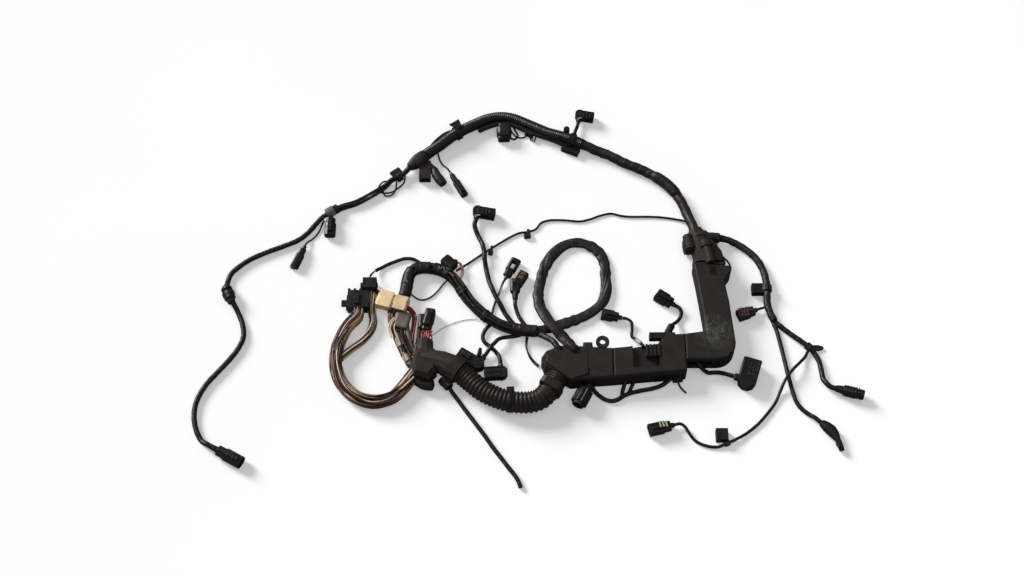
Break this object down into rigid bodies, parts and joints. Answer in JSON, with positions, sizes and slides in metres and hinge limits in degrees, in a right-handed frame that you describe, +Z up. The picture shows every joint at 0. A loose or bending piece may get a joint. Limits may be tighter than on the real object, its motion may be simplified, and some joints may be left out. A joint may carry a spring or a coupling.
{
  "type": "wiring harness",
  "caption": "Vehicle wiring harness laid flat: taped bundles and leads with keyed connectors, a corrugated conduit and a covered cable duct with a fixing eyelet",
  "frame": {"origin": "on the plane that the harness lies on, under the middle of everything that isn't a free lead", "axes": "+X along the harness, from the long left lead to the right leads; +Y across it, towards the upper trunk; +Z up from the plane"},
  "size_m": [1.029, 0.6881, 0.0389],
  "materials": {
    "black_plastic": "moulded, slightly worn",
    "duct_plastic": "fine texture, dusty",
    "conduit_plastic": "moulded, dusty",
    "boot_rubber": "matt, dusty",
    "lead_sheath": "smooth tape or sheath",
    "taped_cloth": "wound cloth tape",
    "coloured_wires": "coloured wire insulation",
    "cream_plastic": "moulded, aged",
    "framed_plastic": "moulded, two-tone"
  },
  "bodies": {
    "root": {"lead_left": "lead_sheath", "bundle_left": "lead_sheath", "trunk_upper": "taped_cloth", "thin_wire": "lead_sheath", "branch_right": "lead_sheath", "lead_i": "lead_sheath", "lead_j": "lead_sheath", "lead_g": "lead_sheath", "lead_e": "lead_sheath", "lead_d": "lead_sheath", "lead_c": "lead_sheath", "lead_elbow": "lead_sheath", "lead_ring": "lead_sheath", "lead_boot": "lead_sheath", "lead_a": "lead_sheath", "lead_b": "lead_sheath", "lead_straight": "taped_cloth", "loop_sleeve": "taped_cloth", "bundle_middle": "taped_cloth", "wires_coloured": "coloured_wires", "cable_under_duct": "lead_sheath", "duct_base": "duct_plastic", "duct_cover_corner": "duct_plastic", "duct_cover_lower": "duct_plastic", "duct_cover_end": "duct_plastic", "duct_mouth": "duct_plastic", "conduit_cuff": "conduit_plastic", "corrugated_conduit": "conduit_plastic", "y_boot": "boot_rubber", "plug_left": "black_plastic", "grommet_left": "black_plastic", "plug_oblong": "black_plastic", "plug_tan": "black_plastic", "clip_tag": "black_plastic", "tape_knot": "taped_cloth", "plug_slim": "black_plastic", "clip_flag": "black_plastic", "plug_hanging": "black_plastic", "clip_pad": "black_plastic", "plug_elbow_top": "black_plastic", "plug_elbow_middle": "black_plastic", "plug_window": "black_plastic", "plug_booted": "black_plastic", "plug_c": "black_plastic", "plug_d": "black_plastic", "plug_e": "black_plastic", "plug_f": "framed_plastic", "clip_block": "black_plastic", "clip_low": "black_plastic", "plug_i": "black_plastic", "boot_j": "boot_rubber", "clip_h": "black_plastic", "plug_g": "black_plastic", "plug_a": "black_plastic", "plug_b": "black_plastic", "plug_ribbed": "black_plastic", "plug_black": "black_plastic", "plug_cream": "cream_plastic", "plug_tall": "black_plastic", "plug_cap": "black_plastic"}
  },
  "joints": []
}
